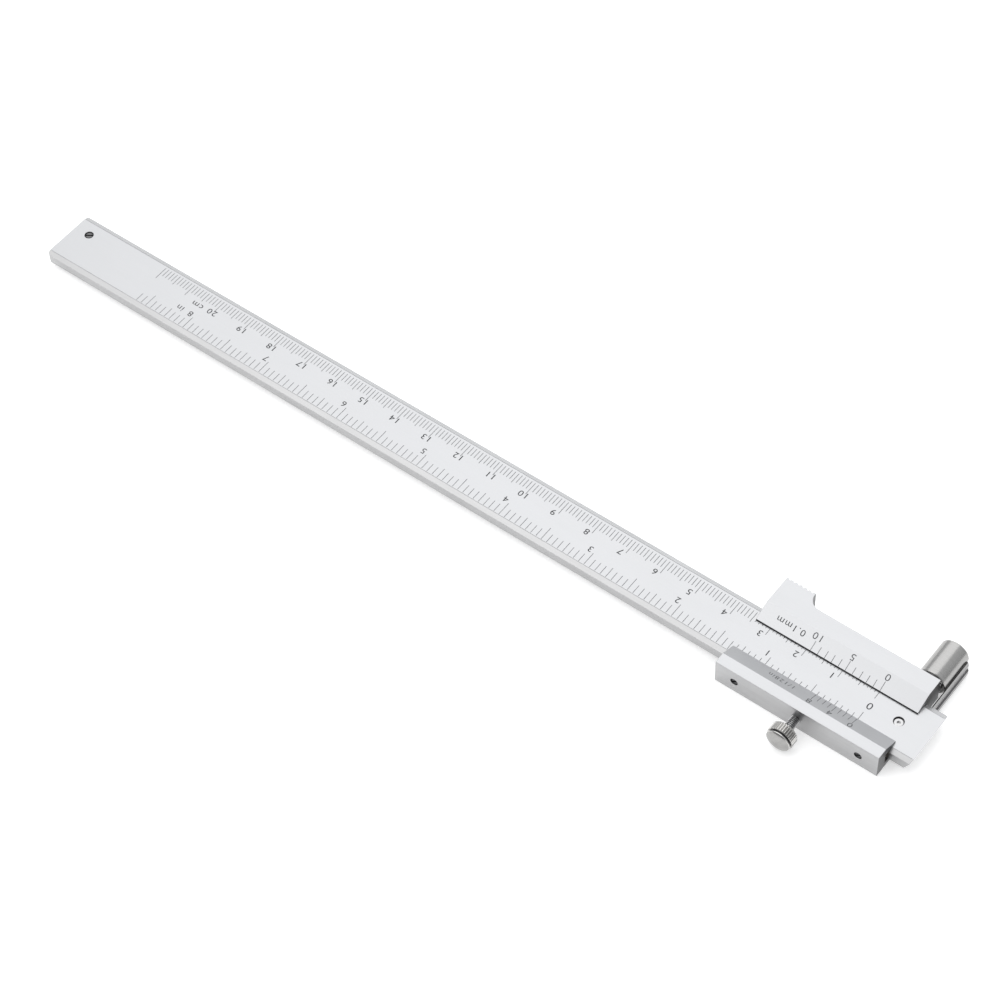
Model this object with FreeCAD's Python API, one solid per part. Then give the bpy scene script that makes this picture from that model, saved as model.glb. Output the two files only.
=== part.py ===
import FreeCAD, Part
import math
import os

# A scribing vernier caliper: a graduated beam with a fixed scriber blade at its zero end, and a slider
# that carries two verniers, a guide roller and a knurled clamping screw.
# All lengths are in millimetres. Every piece is first built in the scale's own frame: x runs from the
# scale zero towards larger readings, y from the beam's centre line towards the clamping screw, and z up
# out of the graduated face. save() then moves it so that the origin is under the middle of the caliper.
# The slider stands at reading zero.

# Beam
beam_length = 265.25
beam_width = 16.0
beam_thickness = 3.5
beam_bevel_width = 1.3
beam_bevel_drop = 0.53
beam_back_chamfer = 0.3
beam_far_corner_radius = 1.0
beam_corner_radius = 0.4
beam_end_margin = 3.55
beam_end_undercut = 1.8

# Slider
slider_head = 10.55
slider_tail = 33.85
slider_top = 2.5
back_plate_thickness = 1.45
roller_wall = 5.56
screw_wall = 3.16
lip_edge = 0.4
roller_lip_overlap = 3.85
roller_lip_slope = 4.55
screw_lip_overlap = 2.85
screw_lip_slope = 4.35
slider_edge_break = 0.2
thumb_rest_width = 8.1
thumb_rest_height = 3.5
thumb_rest_fillet = 3.0
serration_count = 6
serration_pitch = 1.25
serration_depth = 0.4

# Fits of the slider on the beam
slide_clearance = 0.04
face_clearance = 0.05

# Gib and its two adjusting screws
gib_thickness = 1.2
gib_back_gap = 0.1
gib_end_inset = 0.7
gib_height_clearance = 0.1
gib_screw_diameter = 2.0
gib_screw_inset = 5.3
gib_screw_recess = 0.2
gib_screw_point_diameter = 1.0
gib_screw_point_length = 0.35
gib_dimple_clearance = 0.05
driver_slot_width = 0.4
driver_slot_depth = 0.45
gib_slot_turn = 40

# Clamping screw
clamp_x = 11.5
clamp_diameter = 2.5
clamp_pad_thickness = 0.8
clamp_pad_relief = 0.1
clamp_reach = 4.1
knob_diameter = 6.8
knob_knurl_length = 2.6
knob_chamfer = 0.35
knob_groove_width = 0.4
knob_groove_depth = 0.5
knob_cap_diameter = 6.3
knob_cap_length = 0.4
knob_dome_height = 0.8
knob_bore_depth = 2.6

# Guide roller
roller_diameter = 7.4
roller_length = 10.6
roller_chamfer = 0.3
roller_washer_thickness = 0.5
roller_washer_diameter = 5.6
axle_diameter = 3.0
bush_wall = 1.0
bush_length = 3.2
axle_thread_depth = 4.0
axle_head_height = 1.2
axle_head_recess = 0.5
axle_head_overlap = 1.1
axle_head_clearance = 0.3
axle_slot_width = 0.8
axle_slot_depth = 0.5
axle_slot_turn = 25

# Scriber blade, its holder and its screw
blade_gap = 1.2
blade_width = 1.1
blade_height = 3.4
blade_length = 29.9
blade_tip = 23.9
blade_tip_taper = 1.1
blade_bevel = 0.3
holder_length = 7.8
holder_thickness = 1.3
holder_screw_inset = 3.62
holder_screw_diameter = 1.6
holder_head_diameter = 2.3
holder_head_height = 0.9
holder_head_recess = 0.45
holder_socket_flats = 0.9
holder_socket_depth = 0.5
pocket_clearance = 0.05

# Stop screw at the far end
stop_inset = 4.85
stop_offset = 3.06
stop_diameter = 2.0
stop_protrusion = 1.0
stop_recess = 0.15
stop_countersink = 0.2
stop_slot_turn = 35

# Clearances of round fits, on the radius
thread_clearance = 0.03
running_clearance = 0.02
head_clearance = 0.2
end_clearance = 0.06
tip_clearance = 0.02
overcut = 1.0

# Places that follow from the sizes above
half_beam = beam_width / 2
slide_floor = -beam_thickness - face_clearance
slider_bottom = slide_floor - back_plate_thickness
slider_middle = (slider_top + slider_bottom) / 2
roller_wall_inner = -half_beam - slide_clearance
roller_wall_outer = roller_wall_inner - roller_wall
gib_inner = half_beam + slide_clearance
gib_outer = gib_inner + gib_thickness
screw_wall_inner = gib_outer + gib_back_gap
screw_wall_outer = screw_wall_inner + screw_wall
blade_inner = -slider_head - blade_gap
blade_outer = blade_inner - blade_width
blade_top = slider_middle + blade_bevel
blade_bottom = blade_top - blade_height
blade_root = blade_length - blade_tip
beam_zero_end = blade_outer - beam_end_margin
beam_far_end = beam_zero_end + beam_length
roller_radius = roller_diameter / 2
axle_radius = axle_diameter / 2
bush_radius = axle_radius + bush_wall
roller_x = blade_inner + face_clearance + roller_radius
roller_near = roller_wall_outer - roller_washer_thickness - end_clearance
roller_far = roller_near - roller_length
knob_back = screw_wall_outer + clamp_reach
knob_groove = knob_back + knob_knurl_length
knob_cap = knob_groove + knob_groove_width
knob_rim = knob_cap + knob_cap_length
knob_end = knob_rim + knob_dome_height
lowest = min(slider_bottom, slider_middle - roller_radius, slider_middle - knob_diameter / 2)
nearest = min(roller_far, -blade_tip)
origin_shift = FreeCAD.Vector(
    -(beam_zero_end + beam_far_end) / 2,
    -(nearest + knob_end) / 2,
    -lowest,
)


def save(name, shape):
    moved = shape.copy()
    moved.translate(origin_shift)
    moved.exportStep("parts/" + name + ".step")


def block(x0, x1, y0, y1, z0, z1):
    corner = FreeCAD.Vector(min(x0, x1), min(y0, y1), min(z0, z1))
    return Part.makeBox(abs(x1 - x0), abs(y1 - y0), abs(z1 - z0), corner)


def rod_along_y(radius, x, z, y0, y1):
    start = FreeCAD.Vector(x, min(y0, y1), z)
    return Part.makeCylinder(radius, abs(y1 - y0), start, FreeCAD.Vector(0, 1, 0))


def rod_along_z(radius, x, y, z0, z1):
    start = FreeCAD.Vector(x, y, min(z0, z1))
    return Part.makeCylinder(radius, abs(z1 - z0), start, FreeCAD.Vector(0, 0, 1))


def prism_along_x(section, x0, x1):
    """Closed (y, z) outline pushed along the beam."""
    points = [FreeCAD.Vector(x0, y, z) for y, z in section]
    wire = Part.makePolygon(points + points[:1])
    return Part.Face(wire).extrude(FreeCAD.Vector(x1 - x0, 0, 0))


def turned_about_y(profile, x, z):
    """Closed (radius, y) outline turned about an axis along y."""
    points = [FreeCAD.Vector(x + radius, y, z) for radius, y in profile]
    face = Part.Face(Part.makePolygon(points + points[:1]))
    return face.revolve(FreeCAD.Vector(x, 0, z), FreeCAD.Vector(0, 1, 0), 360)


def upright_edges(shape, wanted):
    """Straight edges along z whose place satisfies wanted(x, y)."""
    found = []
    for edge in shape.Edges:
        box = edge.BoundBox
        if box.XLength < 1e-6 and box.YLength < 1e-6 and wanted(box.XMin, box.YMin):
            found.append(edge)
    return found


def make_beam():
    bevel_start = half_beam - beam_bevel_width
    back = half_beam - beam_back_chamfer
    section = [
        (-half_beam, -beam_bevel_drop),
        (-bevel_start, 0),
        (bevel_start, 0),
        (half_beam, -beam_bevel_drop),
        (half_beam, -beam_thickness + beam_back_chamfer),
        (back, -beam_thickness),
        (-back, -beam_thickness),
        (-half_beam, -beam_thickness + beam_back_chamfer),
    ]
    beam = prism_along_x(section, beam_zero_end, beam_far_end)
    outline = block(beam_zero_end, beam_far_end, -half_beam, half_beam, -beam_thickness, 0)
    small = upright_edges(outline, lambda x, y: x < 0 or y < 0)
    outline = outline.makeFillet(beam_corner_radius, small)
    large = upright_edges(outline, lambda x, y: x > 0 and y > 0)
    outline = outline.makeFillet(beam_far_corner_radius, large)
    beam = beam.common(outline)
    beam = beam.cut(zero_end_undercut())
    beam = beam.cut(holder_pocket())
    beam = beam.cut(blade_groove())
    beam = beam.cut(holder_screw_hole())
    return beam.cut(stop_screw_hole()).removeSplitter()


def zero_end_undercut():
    """Wedge under the zero end, so that its top edge stands out as a straight edge to mark along."""
    corners = [
        FreeCAD.Vector(beam_zero_end, -beam_width, 0),
        FreeCAD.Vector(beam_zero_end + beam_end_undercut, -beam_width, -beam_thickness),
        FreeCAD.Vector(beam_zero_end + beam_end_undercut, -beam_width, -beam_thickness - overcut),
        FreeCAD.Vector(beam_zero_end - overcut, -beam_width, -beam_thickness - overcut),
        FreeCAD.Vector(beam_zero_end - overcut, -beam_width, 0),
    ]
    face = Part.Face(Part.makePolygon(corners + corners[:1]))
    return face.extrude(FreeCAD.Vector(0, 2 * beam_width, 0))


def holder_pocket():
    far = blade_inner + holder_length + pocket_clearance
    closed = blade_root + pocket_clearance
    roof = -beam_thickness + holder_thickness
    return block(blade_inner, far, -half_beam - overcut, closed, -beam_thickness - overcut, roof)


def blade_groove():
    closed = blade_root + pocket_clearance
    below = -beam_thickness - overcut
    return block(blade_outer, blade_inner, -half_beam - overcut, closed, below, blade_top)


def holder_screw_hole():
    x = blade_inner + holder_screw_inset
    seat = -holder_head_recess - holder_head_height
    bore = rod_along_z(holder_screw_diameter / 2 + thread_clearance, x, 0, -beam_thickness, 0)
    counterbore = rod_along_z(holder_head_diameter / 2 + head_clearance, x, 0, seat, overcut)
    return bore.fuse(counterbore)


def stop_screw_hole():
    x = beam_far_end - stop_inset
    radius = stop_diameter / 2 + thread_clearance
    bore = rod_along_z(radius, x, -stop_offset, -beam_thickness - overcut, overcut)
    mouth_start = FreeCAD.Vector(x, -stop_offset, -stop_countersink)
    mouth = Part.makeCone(radius, radius + stop_countersink, stop_countersink, mouth_start)
    return bore.fuse(mouth)


def driver_slot_z(x, y, top, radius, turn):
    """Slot for a driver across the top of an upright screw."""
    reach = radius + overcut
    half = driver_slot_width / 2
    slot = block(x - reach, x + reach, y - half, y + half, top - driver_slot_depth, top + overcut)
    slot.rotate(FreeCAD.Vector(x, y, 0), FreeCAD.Vector(0, 0, 1), turn)
    return slot


def hexagon_socket(x, y, top):
    """Six-sided socket for a key, down into the top of an upright screw."""
    radius = holder_socket_flats / math.sqrt(3)
    bottom = top - holder_socket_depth
    corners = []
    for index in range(6):
        angle = math.radians(60 * index)
        corners.append(FreeCAD.Vector(x + radius * math.cos(angle), y + radius * math.sin(angle), bottom))
    face = Part.Face(Part.makePolygon(corners + corners[:1]))
    return face.extrude(FreeCAD.Vector(0, 0, holder_socket_depth + overcut))


def driver_slot_y(x, y0, y1, width, turn):
    """Slot for a driver across a screw that lies along y at the slider's middle height."""
    reach = roller_diameter
    low = slider_middle - width / 2
    slot = block(x - reach, x + reach, y0, y1, low, low + width)
    slot.rotate(FreeCAD.Vector(x, y0, slider_middle), FreeCAD.Vector(0, 1, 0), turn)
    return slot


def make_stop_screw():
    x = beam_far_end - stop_inset
    radius = stop_diameter / 2
    bottom = -beam_thickness - stop_protrusion
    screw = rod_along_z(radius, x, -stop_offset, bottom, -stop_recess)
    return screw.cut(driver_slot_z(x, -stop_offset, -stop_recess, radius, stop_slot_turn))


def make_holder_screw():
    x = blade_inner + holder_screw_inset
    top = -holder_head_recess
    seat = top - holder_head_height
    head = rod_along_z(holder_head_diameter / 2, x, 0, seat, top)
    shank = rod_along_z(holder_screw_diameter / 2, x, 0, -beam_thickness, seat)
    return head.fuse(shank).removeSplitter().cut(hexagon_socket(x, 0, top))


def make_blade_holder():
    far = blade_inner + holder_length
    top = -beam_thickness + holder_thickness
    plate = block(blade_inner, far, -half_beam, blade_root, -beam_thickness, top)
    x = blade_inner + holder_screw_inset
    hole = rod_along_z(holder_screw_diameter / 2, x, 0, -beam_thickness - overcut, 0)
    return plate.cut(hole)


def make_scriber_blade():
    section = [
        (blade_inner, blade_bottom),
        (blade_inner, blade_top - blade_bevel),
        (blade_inner - blade_bevel, blade_top),
        (blade_outer, blade_top),
        (blade_outer, blade_bottom),
    ]
    points = [FreeCAD.Vector(x, -blade_tip, z) for x, z in section]
    bar = Part.Face(Part.makePolygon(points + points[:1])).extrude(FreeCAD.Vector(0, blade_length, 0))
    wedge = [
        FreeCAD.Vector(blade_inner, -blade_tip, blade_bottom - overcut),
        FreeCAD.Vector(blade_outer, -blade_tip + blade_tip_taper, blade_bottom - overcut),
        FreeCAD.Vector(blade_outer - overcut, -blade_tip + blade_tip_taper, blade_bottom - overcut),
        FreeCAD.Vector(blade_outer - overcut, -blade_tip - overcut, blade_bottom - overcut),
        FreeCAD.Vector(blade_inner, -blade_tip - overcut, blade_bottom - overcut),
    ]
    face = Part.Face(Part.makePolygon(wedge + wedge[:1]))
    return bar.cut(face.extrude(FreeCAD.Vector(0, 0, blade_height + 2 * overcut)))


def slider_section():
    roller_lip = -half_beam + roller_lip_overlap
    screw_lip = half_beam - screw_lip_overlap
    lip_top = face_clearance + lip_edge
    return [
        (roller_wall_outer, slider_bottom),
        (screw_wall_outer, slider_bottom),
        (screw_wall_outer, slider_top),
        (screw_lip + screw_lip_slope, slider_top),
        (screw_lip, lip_top),
        (screw_lip, face_clearance),
        (screw_wall_inner, face_clearance),
        (screw_wall_inner, slide_floor),
        (roller_wall_inner, slide_floor),
        (roller_wall_inner, face_clearance),
        (roller_lip, face_clearance),
        (roller_lip, lip_top),
        (roller_lip - roller_lip_slope, slider_top),
        (roller_wall_outer, slider_top),
    ]


def make_thumb_rest():
    outer = roller_wall_outer - thumb_rest_height
    start = slider_tail - thumb_rest_width
    turn = roller_wall_outer - thumb_rest_fillet
    half = thumb_rest_fillet * math.sqrt(0.5)
    middle = FreeCAD.Vector(start - thumb_rest_fillet + half, turn + half, slider_bottom)
    root_start = FreeCAD.Vector(start - thumb_rest_fillet, roller_wall_outer, slider_bottom)
    root_end = FreeCAD.Vector(start, turn, slider_bottom)
    corners = [
        root_end,
        FreeCAD.Vector(start, outer, slider_bottom),
        FreeCAD.Vector(slider_tail, outer, slider_bottom),
        FreeCAD.Vector(slider_tail, roller_wall_outer, slider_bottom),
        root_start,
    ]
    edges = [Part.Arc(root_start, middle, root_end).toShape()]
    for first, last in zip(corners[:-1], corners[1:]):
        edges.append(Part.makeLine(first, last))
    rest = Part.Face(Part.Wire(edges)).extrude(FreeCAD.Vector(0, 0, slider_top - slider_bottom))
    centre = (start + slider_tail) / 2
    for index in range(serration_count):
        x = centre + (index - (serration_count - 1) / 2) * serration_pitch
        rest = rest.cut(serration(x, outer))
    return rest


def serration(x, y):
    """A V-shaped groove along z in the thumb rest's outer face."""
    corners = [
        FreeCAD.Vector(x - serration_depth, y, slider_bottom - overcut),
        FreeCAD.Vector(x, y + serration_depth, slider_bottom - overcut),
        FreeCAD.Vector(x + serration_depth, y, slider_bottom - overcut),
    ]
    face = Part.Face(Part.makePolygon(corners + corners[:1]))
    return face.extrude(FreeCAD.Vector(0, 0, slider_top - slider_bottom + 2 * overcut))


def screw_wall_corners(shape):
    """The two long outer corners of the wall that holds the screws."""
    found = []
    for edge in shape.Edges:
        box = edge.BoundBox
        along = box.YLength < 1e-6 and box.ZLength < 1e-6
        if along and abs(box.YMin - screw_wall_outer) < 1e-6:
            found.append(edge)
    return found


def make_slider_frame():
    body = prism_along_x(slider_section(), -slider_head, slider_tail)
    body = body.makeChamfer(slider_edge_break, screw_wall_corners(body))
    body = body.fuse(make_thumb_rest()).removeSplitter()
    for x in gib_screw_places():
        radius = gib_screw_diameter / 2 + thread_clearance
        body = body.cut(rod_along_y(radius, x, slider_middle, gib_outer, screw_wall_outer + overcut))
    radius = clamp_diameter / 2 + thread_clearance
    body = body.cut(rod_along_y(radius, clamp_x, slider_middle, gib_outer, screw_wall_outer + overcut))
    blind_end = roller_wall_outer + axle_thread_depth + end_clearance
    axle_hole = rod_along_y(axle_radius, roller_x, slider_middle, roller_wall_outer - overcut, blind_end)
    return body.cut(axle_hole)


def gib_screw_places():
    return [-slider_head + gib_screw_inset, slider_tail - gib_screw_inset]


def make_gib_strip():
    low = slide_floor + gib_height_clearance
    high = face_clearance - gib_height_clearance
    near = -slider_head + gib_end_inset
    far = slider_tail - gib_end_inset
    strip = block(near, far, gib_inner, gib_outer, low, high)
    for x in gib_screw_places():
        radius = gib_screw_point_diameter / 2 + gib_dimple_clearance
        depth = gib_screw_point_length + gib_dimple_clearance
        strip = strip.cut(rod_along_y(radius, x, slider_middle, gib_outer - depth, gib_outer + overcut))
    return strip


def make_gib_screw(x):
    start = gib_outer + tip_clearance
    end = screw_wall_outer - gib_screw_recess
    body = rod_along_y(gib_screw_diameter / 2, x, slider_middle, start, end)
    tip = start - gib_screw_point_length
    point = rod_along_y(gib_screw_point_diameter / 2, x, slider_middle, tip, start)
    slot = driver_slot_y(x, end - driver_slot_depth, end + overcut, driver_slot_width, gib_slot_turn)
    return body.fuse(point).removeSplitter().cut(slot)


def clamp_pad_span():
    start = gib_outer + tip_clearance
    return start, start + clamp_pad_thickness


def make_clamp_pad():
    start, end = clamp_pad_span()
    return rod_along_y(clamp_diameter / 2 - clamp_pad_relief, clamp_x, slider_middle, start, end)


def make_clamp_screw():
    start = clamp_pad_span()[1] + tip_clearance
    return rod_along_y(clamp_diameter / 2, clamp_x, slider_middle, start, knob_back + knob_bore_depth)


def make_clamp_knob():
    radius = knob_diameter / 2
    bore = clamp_diameter / 2
    cap = knob_cap_diameter / 2
    outline = [
        (bore, knob_back),
        (radius - knob_chamfer, knob_back),
        (radius, knob_back + knob_chamfer),
        (radius, knob_groove),
        (radius - knob_groove_depth, knob_groove),
        (radius - knob_groove_depth, knob_cap),
        (cap, knob_cap),
        (cap, knob_rim),
        (0, knob_rim),
        (0, knob_back + knob_bore_depth),
        (bore, knob_back + knob_bore_depth),
    ]
    ball = (cap * cap + knob_dome_height * knob_dome_height) / (2 * knob_dome_height)
    centre = FreeCAD.Vector(clamp_x, knob_end - ball, slider_middle)
    dome = Part.makeSphere(ball, centre)
    dome = dome.common(rod_along_y(cap, clamp_x, slider_middle, knob_rim, knob_end + overcut))
    return turned_about_y(outline, clamp_x, slider_middle).fuse(dome).removeSplitter()


def axle_head_place():
    """y of the seat under the axle's head and y of the head's end face."""
    seat = roller_far + axle_head_recess + axle_head_height
    return seat, seat - axle_head_height


def make_roller_axle():
    seat, end = axle_head_place()
    shank = rod_along_y(axle_radius, roller_x, slider_middle, seat, roller_wall_outer + axle_thread_depth)
    head = rod_along_y(axle_radius + axle_head_overlap, roller_x, slider_middle, end, seat)
    slot = driver_slot_y(roller_x, end - overcut, end + axle_slot_depth, axle_slot_width, axle_slot_turn)
    return shank.fuse(head).removeSplitter().cut(slot)


def ring(radius, y0, y1):
    """Ring round the roller's axle, bored to run on it."""
    outer = rod_along_y(radius, roller_x, slider_middle, y0, y1)
    bore = axle_radius + running_clearance
    return outer.cut(rod_along_y(bore, roller_x, slider_middle, y0 - overcut, y1 + overcut))


def make_roller_washer():
    return ring(roller_washer_diameter / 2, roller_wall_outer - roller_washer_thickness, roller_wall_outer)


def make_roller_sleeve():
    mouth = axle_radius + axle_head_overlap + axle_head_clearance
    seat = axle_head_place()[0] + end_clearance
    outline = [
        (bush_radius, roller_near),
        (roller_radius - roller_chamfer, roller_near),
        (roller_radius, roller_near - roller_chamfer),
        (roller_radius, roller_far + roller_chamfer),
        (roller_radius - roller_chamfer, roller_far),
        (mouth, roller_far),
        (mouth, seat),
        (bush_radius, seat),
    ]
    return turned_about_y(outline, roller_x, slider_middle)


def make_roller_bush(start):
    return ring(bush_radius, start, start + bush_length)


os.makedirs("parts", exist_ok=True)

save("beam", make_beam())
save("stop_screw", make_stop_screw())
save("blade_holder", make_blade_holder())
save("scriber_blade", make_scriber_blade())
save("holder_screw", make_holder_screw())

save("slider_frame", make_slider_frame())
save("gib_strip", make_gib_strip())
for side, screw_x in zip(("zero_side", "far_side"), gib_screw_places()):
    save("gib_screw_" + side, make_gib_screw(screw_x))

save("clamp_pad", make_clamp_pad())
save("clamp_screw", make_clamp_screw())
save("clamp_knob", make_clamp_knob())

bush_seat = axle_head_place()[0] + end_clearance
save("roller_axle", make_roller_axle())
save("roller_washer", make_roller_washer())
save("roller_sleeve", make_roller_sleeve())
save("roller_bush_inner", make_roller_bush(roller_near - bush_length))
save("roller_bush_outer", make_roller_bush(bush_seat))

print("origin shift", [round(value, 4) for value in origin_shift])
print("slider travel", round(beam_far_end - stop_inset - stop_diameter / 2 - slider_tail, 3))
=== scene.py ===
import math
import bmesh
import bpy
from mathutils import Matrix, Quaternion, Vector


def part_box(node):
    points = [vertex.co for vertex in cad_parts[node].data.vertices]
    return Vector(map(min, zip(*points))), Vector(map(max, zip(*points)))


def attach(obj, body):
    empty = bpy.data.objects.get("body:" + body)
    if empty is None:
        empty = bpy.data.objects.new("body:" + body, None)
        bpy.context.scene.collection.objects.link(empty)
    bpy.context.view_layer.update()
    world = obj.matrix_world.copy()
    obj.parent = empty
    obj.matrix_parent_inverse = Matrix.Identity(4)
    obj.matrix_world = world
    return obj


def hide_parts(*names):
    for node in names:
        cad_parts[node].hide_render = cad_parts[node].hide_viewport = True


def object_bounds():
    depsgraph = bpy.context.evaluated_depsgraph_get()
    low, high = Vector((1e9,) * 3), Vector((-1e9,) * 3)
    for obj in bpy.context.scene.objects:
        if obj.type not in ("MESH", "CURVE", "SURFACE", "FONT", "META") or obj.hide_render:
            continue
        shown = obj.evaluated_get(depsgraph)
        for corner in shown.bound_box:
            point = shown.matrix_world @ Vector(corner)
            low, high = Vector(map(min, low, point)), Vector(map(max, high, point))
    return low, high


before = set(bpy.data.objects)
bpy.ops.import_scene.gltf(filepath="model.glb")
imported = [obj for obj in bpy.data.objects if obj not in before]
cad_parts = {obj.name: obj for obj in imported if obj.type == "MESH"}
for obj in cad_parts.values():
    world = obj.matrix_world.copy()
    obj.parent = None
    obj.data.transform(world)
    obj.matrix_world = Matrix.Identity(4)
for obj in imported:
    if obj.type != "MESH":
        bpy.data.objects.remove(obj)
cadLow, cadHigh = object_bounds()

# Every piece is made in millimetres from the zero line of the scale: x towards larger readings, y from the
# middle of the beam towards the clamping screw, z up out of the graduated face. finishPiece() then puts the
# mesh in its place in the frame, in metres.
scaleZeroInset = 16.4
beamLow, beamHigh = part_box("beam")
frameOrigin = Vector((beamLow.x + scaleZeroInset / 1000, (beamLow.y + beamHigh.y) / 2, beamHigh.z))
overcut = 1.0  # how far a cutting tool stands out past the metal
slack = 0.01  # how near to a surface still counts as on it
weld = 1e-4  # corners nearer to each other than this are one
inch = 25.4


def spanOf(node):
    low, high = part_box(node)
    return (low - frameOrigin) * 1000, (high - frameOrigin) * 1000


class Wire:  # an output socket that takes part in sums
    def __init__(self, sheet, socket):
        self.sheet = sheet
        self.socket = socket

    def math(self, operation, first, second):
        return self.sheet.node("ShaderNodeMath", {"operation": operation}, {0: first, 1: second})

    def __add__(self, other):
        return self.math("ADD", self, other)

    def __radd__(self, other):
        return self.math("ADD", other, self)

    def __sub__(self, other):
        return self.math("SUBTRACT", self, other)

    def __rsub__(self, other):
        return self.math("SUBTRACT", other, self)

    def __mul__(self, other):
        return self.math("MULTIPLY", self, other)

    def __rmul__(self, other):
        return self.math("MULTIPLY", other, self)


class Sheet:  # the nodes of one material, or of the room
    def __init__(self, owner, shader="Principled BSDF"):
        owner.use_nodes = True
        self.tree = owner.node_tree
        self.shader = self.tree.nodes[shader]

    def node(self, kind, settings, inputs, output=0):
        made = self.tree.nodes.new(kind)
        for key, value in settings.items():
            setattr(made, key, value)
        for key, value in inputs.items():
            self.feed(made.inputs[key], value)
        return Wire(self, made.outputs[output])

    def feed(self, socket, value):
        if isinstance(value, Wire):
            self.tree.links.new(value.socket, socket)
        else:
            socket.default_value = value

    def noise(self, stretch, detail, shift=0.0):
        spot = self.node("ShaderNodeTexCoord", {}, {}, "Object")
        place = {"Vector": spot, "Location": (shift, shift, shift), "Scale": stretch}
        laid = self.node("ShaderNodeMapping", {}, place)
        return self.node("ShaderNodeTexNoise", {}, {"Vector": laid, "Scale": 1.0, "Detail": detail})

    def opened(self, value, low, high):  # the middle band of a noise spread out to 0..1
        return self.node("ShaderNodeMapRange", {}, {"Value": value, "From Min": low, "From Max": high})

    def tint(self, mask, dark, light):
        tones = {0: mask, 6: (*dark, 1.0), 7: (*light, 1.0)}
        return self.node("ShaderNodeMix", {"data_type": "RGBA"}, tones, 2)


def dimmed(tone, factor):
    return tuple(min(1.0, channel * factor) for channel in tone)


# A metal finish is made of grinding lines, patches and specks. In a look, "grain" is how often the lines
# repeat along x, y and z in a metre, "spread" how far light and dark patches of the colour are apart, and
# "strength" how much the lines and specks stand out.
metalSetup = {
    "detail": 3.0, "lineBand": (0.3, 0.7), "patchBand": (0.32, 0.68), "patchShift": 7.0, "lineShare": 0.75,
    "specks": (9000, 9000, 9000), "speckDetail": 1.0, "speckShift": 3.0, "relief": 0.00001,
}


def metalFinish(name, look):
    setup = metalSetup
    material = bpy.data.materials.new(name)
    sheet = Sheet(material)
    lines = sheet.opened(sheet.noise(look["grain"], setup["detail"]), *setup["lineBand"])
    cloud = sheet.noise(look["patches"], setup["detail"], setup["patchShift"])
    patches = sheet.opened(cloud, *setup["patchBand"])
    dots = sheet.noise(setup["specks"], setup["speckDetail"], setup["speckShift"])
    specks = sheet.opened(dots, *setup["lineBand"])
    mask = patches * look["patchShare"] + lines * (1 - look["patchShare"])
    light = dimmed(look["tone"], 1 + look["spread"])
    dark = dimmed(look["tone"], 1 - look["spread"])
    sheet.feed(sheet.shader.inputs["Base Color"], sheet.tint(mask, dark, light))
    rough = look["rough"] + (mask - 0.5) * look["roughSpread"]
    sheet.feed(sheet.shader.inputs["Roughness"], rough)
    height = lines * setup["lineShare"] + specks * (1 - setup["lineShare"])
    relief = {"Height": height, "Strength": look["strength"], "Distance": setup["relief"]}
    sheet.feed(sheet.shader.inputs["Normal"], sheet.node("ShaderNodeBump", {}, relief))
    sheet.feed(sheet.shader.inputs["Metallic"], look.get("metallic", 1.0))
    return material


satinChromeLook = {
    "tone": (0.50, 0.504, 0.516), "rough": 0.33, "roughSpread": 0.05, "spread": 0.03, "patchShare": 0.6,
    "grain": (120, 5200, 5200), "patches": (60, 160, 160), "strength": 0.10,
}
# Ground steel for the side faces, the screw-side bevel and the holder plate. It has its own grinding lines,
# and its tone is set darker than the satin top: painted shade.
groundPaintedShadeLook = {
    "tone": (0.44, 0.44, 0.445), "rough": 0.32, "roughSpread": 0.08, "spread": 0.08, "patchShare": 0.5,
    "grain": (90, 4200, 4200), "patches": (90, 500, 500), "strength": 0.16,
}
# The beam's roller-side bevel, set much lighter than the top: a painted highlight.
bevelPaintedHighlightLook = {
    "tone": (0.68, 0.682, 0.69), "rough": 0.24, "roughSpread": 0.05, "spread": 0.05, "patchShare": 0.5,
    "grain": (90, 4200, 4200), "patches": (70, 500, 500), "strength": 0.10,
}
groundRoundLook = {
    "tone": (0.37, 0.367, 0.362), "rough": 0.24, "roughSpread": 0.08, "spread": 0.08, "patchShare": 0.4,
    "grain": (250, 6000, 250), "patches": (400, 120, 400), "strength": 0.18,
}
# Black oxide for the small screws, also used for the roots of the clamp thread. In the knob's groove the same
# black is painted shade.
blackOxideAndGrooveShadeLook = {
    "tone": (0.045, 0.045, 0.048), "rough": 0.34, "roughSpread": 0.12, "spread": 0.35, "patchShare": 0.7,
    "grain": (1800, 1800, 1800), "patches": (900, 900, 900), "strength": 0.2,
    "metallic": 0.7,
}
# A darker steel for the bottoms of the knob's ridges: painted shade.
knurlValleyShadeLook = {
    "tone": (0.20, 0.198, 0.195), "rough": 0.26, "roughSpread": 0.10, "spread": 0.25, "patchShare": 0.7,
    "grain": (1500, 3000, 1500), "patches": (700, 700, 700), "strength": 0.15,
}
brightSteelLook = {
    "tone": (0.50, 0.50, 0.505), "rough": 0.24, "roughSpread": 0.08, "spread": 0.06, "patchShare": 0.5,
    "grain": (2500, 2500, 2500), "patches": (700, 700, 700), "strength": 0.12,
}
nickelLook = {
    "tone": (0.54, 0.533, 0.52), "rough": 0.20, "roughSpread": 0.07, "spread": 0.05, "patchShare": 0.7,
    "grain": (1600, 1600, 1600), "patches": (500, 500, 500), "strength": 0.08,
}
# A darker nickel with dark patches for the knob's dome: a painted dark reflection.
nickelPaintedReflectionLook = {
    "tone": (0.34, 0.336, 0.33), "rough": 0.22, "roughSpread": 0.10, "spread": 0.22, "patchShare": 0.8,
    "grain": (2600, 2600, 2600), "patches": (260, 260, 260), "strength": 0.10,
}
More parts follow.
